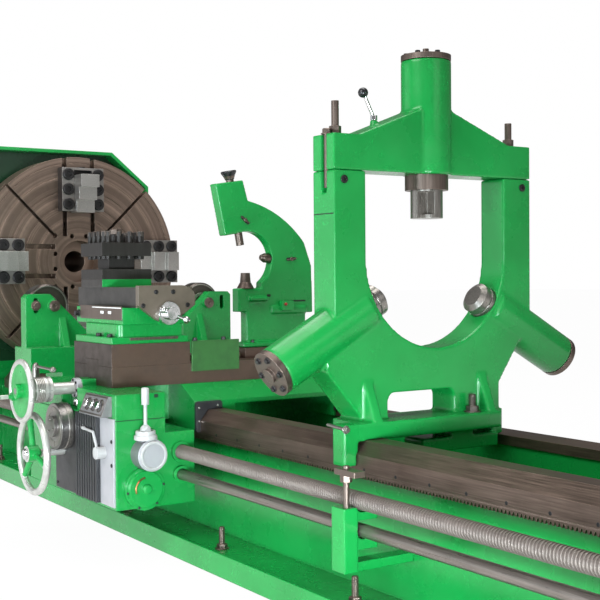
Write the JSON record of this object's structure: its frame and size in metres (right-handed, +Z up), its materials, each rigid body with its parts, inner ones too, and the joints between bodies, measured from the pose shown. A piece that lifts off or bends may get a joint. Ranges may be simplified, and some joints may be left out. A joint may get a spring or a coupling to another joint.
{
  "type": "heavy duty lathe",
  "caption": "Heavy duty horizontal lathe: slotted faceplate with independent jaws, carriage with tool post, follow rest, steady rest and tailstock on a long bed",
  "frame": {"origin": "On the floor, under the spindle axis, at the front plane of the faceplate", "axes": "+X along the bed from headstock to tailstock, -Y towards the operator, +Z up"},
  "size_m": [7.79, 2.091, 1.914],
  "materials": {
    "green_paint": "gloss machine enamel over cast iron",
    "wheel_paint": "gloss enamel on the spokes, polished rim",
    "ground_way": "ground and oiled, brown-grey",
    "dark_steel": "machined, oiled dark grey",
    "bright_steel": "turned steel",
    "silver_casting": "satin silver",
    "chrome_trim": "polished",
    "black_rubber": "matte",
    "black_panel": "satin black"
  },
  "bodies": {
    "bed": {"bed": "green_paint", "slideways": "ground_way", "rack": "ground_way", "tail_bracket": "green_paint", "screw_support": "green_paint", "support_stud": "bright_steel", "headstock": "green_paint", "headstock_cover": "green_paint", "feed_box": "green_paint", "motor": "green_paint", "belt_guard": "green_paint"},
    "spindle": {"spindle": "dark_steel", "faceplate": "dark_steel", "jaw_boxes": "dark_steel"},
    "jaw_1": {"jaw_1": "dark_steel"},
    "jaw_2": {"jaw_2": "dark_steel"},
    "jaw_3": {"jaw_3": "dark_steel"},
    "jaw_4": {"jaw_4": "dark_steel"},
    "lead_screw": {"lead_screw": "bright_steel"},
    "feed_rod": {"feed_rod": "bright_steel"},
    "roller_rest": {"roller_rest": "green_paint"},
    "rest_roller_front": {"rest_roller_front": "bright_steel"},
    "rest_roller_rear": {"rest_roller_rear": "bright_steel"},
    "carriage": {"saddle": "green_paint", "cross_way": "ground_way", "wipers": "black_rubber", "apron": "green_paint", "apron_panel": "black_panel", "apron_fittings": "silver_casting", "apron_cover": "green_paint", "button_panel": "green_paint", "follow_rest": "green_paint"},
    "start_button": {"start_button": "chrome_trim"},
    "stop_button": {"stop_button": "chrome_trim"},
    "jog_button": {"jog_button": "chrome_trim"},
    "joystick": {"joystick": "chrome_trim"},
    "half_nut_lever": {"half_nut_lever": "silver_casting"},
    "traverse_handwheel": {"traverse_handwheel": "wheel_paint"},
    "traverse_dial": {"traverse_dial": "bright_steel"},
    "cross_handwheel": {"cross_handwheel": "wheel_paint"},
    "cross_slide": {"cross_slide": "ground_way", "compound_base": "green_paint"},
    "swivel": {"swivel": "green_paint"},
    "top_slide": {"top_slide": "dark_steel"},
    "top_handle": {"top_handle": "chrome_trim"},
    "tool_post": {"tool_post": "dark_steel"},
    "follow_plunger_top": {"follow_plunger_top": "bright_steel"},
    "follow_plunger_side": {"follow_plunger_side": "bright_steel"},
    "follow_plunger_low": {"follow_plunger_low": "bright_steel"},
    "steady": {"steady_frame": "green_paint", "steady_bridge": "green_paint", "steady_fittings": "bright_steel"},
    "steady_plunger_top": {"steady_plunger_top": "bright_steel"},
    "steady_plunger_front": {"steady_plunger_front": "bright_steel"},
    "steady_plunger_rear": {"steady_plunger_rear": "bright_steel"},
    "steady_lever": {"steady_lever": "chrome_trim"},
    "tailstock": {"tail_base": "green_paint", "tail_body": "green_paint"},
    "quill": {"quill": "bright_steel"},
    "tail_handwheel": {"tail_handwheel": "wheel_paint"}
  },
  "joints": [
    {"name": "spindle_turn", "type": "hinge", "parent": "bed", "child": "spindle", "pos_m": [0, 0, 1.2], "axis": [1, 0, 0], "continuous": true},
    {"name": "jaw_1_slide", "type": "slide", "parent": "spindle", "child": "jaw_1", "axis": [0, 0, 1], "range_m": [-0.12, 0.03]},
    {"name": "jaw_2_slide", "type": "slide", "parent": "spindle", "child": "jaw_2", "axis": [0, -1, 0], "range_m": [-0.12, 0.03]},
    {"name": "jaw_3_slide", "type": "slide", "parent": "spindle", "child": "jaw_3", "axis": [0, 0, -1], "range_m": [-0.12, 0.03]},
    {"name": "jaw_4_slide", "type": "slide", "parent": "spindle", "child": "jaw_4", "axis": [0, 1, 0], "range_m": [-0.12, 0.03]},
    {"name": "lead_screw_turn", "type": "hinge", "parent": "bed", "child": "lead_screw", "pos_m": [0, -0.572, 0.41], "axis": [1, 0, 0], "continuous": true},
    {"name": "feed_rod_turn", "type": "hinge", "parent": "bed", "child": "feed_rod", "pos_m": [0, -0.572, 0.32], "axis": [1, 0, 0], "continuous": true},
    {"name": "roller_rest_slide", "type": "slide", "parent": "bed", "child": "roller_rest", "axis": [1, 0, 0], "range_m": [-0.15, 0.1]},
    {"name": "front_roller_turn", "type": "hinge", "parent": "roller_rest", "child": "rest_roller_front", "pos_m": [0.639, -0.458, 0.955], "axis": [1, 0, 0], "continuous": true},
    {"name": "rear_roller_turn", "type": "hinge", "parent": "roller_rest", "child": "rest_roller_rear", "pos_m": [0.639, 0.458, 0.955], "axis": [1, 0, 0], "continuous": true},
    {"name": "carriage_slide", "type": "slide", "parent": "bed", "child": "carriage", "axis": [1, 0, 0], "range_m": [-0.35, 0.4]},
    {"name": "traverse_wheel_turn", "type": "hinge", "parent": "carriage", "child": "traverse_handwheel", "pos_m": [1.9, -0.986, 0.373], "axis": [0, 1, 0], "range_deg": [-720, 720]},
    {"name": "traverse_dial_turn", "type": "hinge", "parent": "carriage", "child": "traverse_dial", "pos_m": [1.94, -0.88, 0.484], "axis": [0, 1, 0], "range_deg": [-360, 360]},
    {"name": "cross_wheel_turn", "type": "hinge", "parent": "carriage", "child": "cross_handwheel", "pos_m": [1.95, -1.051, 0.641], "axis": [0, 1, 0], "range_deg": [-3600, 5400]},
    {"name": "cross_slide_slide", "type": "slide", "parent": "carriage", "child": "cross_slide", "axis": [0, 1, 0], "range_m": [-0.1, 0.15]},
    {"name": "compound_swivel", "type": "hinge", "parent": "cross_slide", "child": "swivel", "pos_m": [1.93, -0.54, 0.94], "axis": [0, 0, 1], "range_deg": [-30, 30]},
    {"name": "top_slide_slide", "type": "slide", "parent": "swivel", "child": "top_slide", "axis": [1, 0, 0], "range_m": [-0.04, 0.16]},
    {"name": "top_handle_turn", "type": "hinge", "parent": "top_slide", "child": "top_handle", "pos_m": [2.24, -0.522, 0.952], "axis": [1, 0, 0], "range_deg": [-2401, 9601]},
    {"name": "tool_post_turn", "type": "hinge", "parent": "top_slide", "child": "tool_post", "pos_m": [1.783, -0.555, 1.16], "axis": [0, 0, 1], "continuous": true},
    {"name": "joystick_tilt", "type": "hinge", "parent": "carriage", "child": "joystick", "pos_m": [2.456, -0.738, 0.512], "axis": [1, 0, 0], "range_deg": [-18, 18]},
    {"name": "half_nut_turn", "type": "hinge", "parent": "carriage", "child": "half_nut_lever", "pos_m": [2.326, -0.88, 0.419], "axis": [0, 1, 0], "range_deg": [-35, 0]},
    {"name": "start_button_push", "type": "slide", "parent": "carriage", "child": "start_button", "axis": [0, 0.9267, -0.3757], "range_m": [0, 0.006], "stiffness_N_per_m": 1500},
    {"name": "stop_button_push", "type": "slide", "parent": "carriage", "child": "stop_button", "axis": [0, 0.9267, -0.3757], "range_m": [0, 0.006], "stiffness_N_per_m": 1500},
    {"name": "jog_button_push", "type": "slide", "parent": "carriage", "child": "jog_button", "axis": [0, 0.9267, -0.3757], "range_m": [0, 0.006], "stiffness_N_per_m": 1500},
    {"name": "follow_top_slide", "type": "slide", "parent": "carriage", "child": "follow_plunger_top", "axis": [0, -0.1736, 0.9848], "range_m": [0, 0.05]},
    {"name": "follow_side_slide", "type": "slide", "parent": "carriage", "child": "follow_plunger_side", "axis": [0, -0.9945, 0.1045], "range_m": [-0.02, 0.04]},
    {"name": "follow_low_slide", "type": "slide", "parent": "carriage", "child": "follow_plunger_low", "axis": [0, 0, 1], "range_m": [0, 0.05]},
    {"name": "steady_slide", "type": "slide", "parent": "bed", "child": "steady", "axis": [1, 0, 0], "range_m": [-0.15, 0.5]},
    {"name": "steady_top_slide", "type": "slide", "parent": "steady", "child": "steady_plunger_top", "axis": [0, 0, -1], "range_m": [-0.05, 0.1]},
    {"name": "steady_front_slide", "type": "slide", "parent": "steady", "child": "steady_plunger_front", "axis": [0, 0.8746, 0.4848], "range_m": [-0.04, 0.12]},
    {"name": "steady_rear_slide", "type": "slide", "parent": "steady", "child": "steady_plunger_rear", "axis": [0, -0.8746, 0.4848], "range_m": [-0.04, 0.12]},
    {"name": "steady_lever_turn", "type": "hinge", "parent": "steady", "child": "steady_lever", "pos_m": [3.262, -0.235, 1.66], "axis": [0, 0, 1], "range_deg": [-60, 60]},
    {"name": "tailstock_slide", "type": "slide", "parent": "bed", "child": "tailstock", "axis": [1, 0, 0], "range_m": [-0.25, 0.1]},
    {"name": "tail_wheel_turn", "type": "hinge", "parent": "tailstock", "child": "tail_handwheel", "pos_m": [5.74, 0, 1.2], "axis": [1, 0, 0], "range_deg": [-3600, 9000]},
    {"name": "quill_slide", "type": "slide", "parent": "tailstock", "child": "quill", "axis": [-1, 0, 0], "range_m": [-0.1, 0.25]}
  ],
  "couplings": [
    {"joint": "traverse_wheel_turn", "follows": "carriage_slide", "rad_per_m": -25.133},
    {"joint": "traverse_dial_turn", "follows": "carriage_slide", "rad_per_m": 12.566},
    {"joint": "cross_slide_slide", "follows": "cross_wheel_turn", "m_per_rad": 0.0015915},
    {"joint": "top_handle_turn", "follows": "top_slide_slide", "rad_per_m": 1047.2},
    {"joint": "quill_slide", "follows": "tail_wheel_turn", "m_per_rad": 0.0015915}
  ]
}
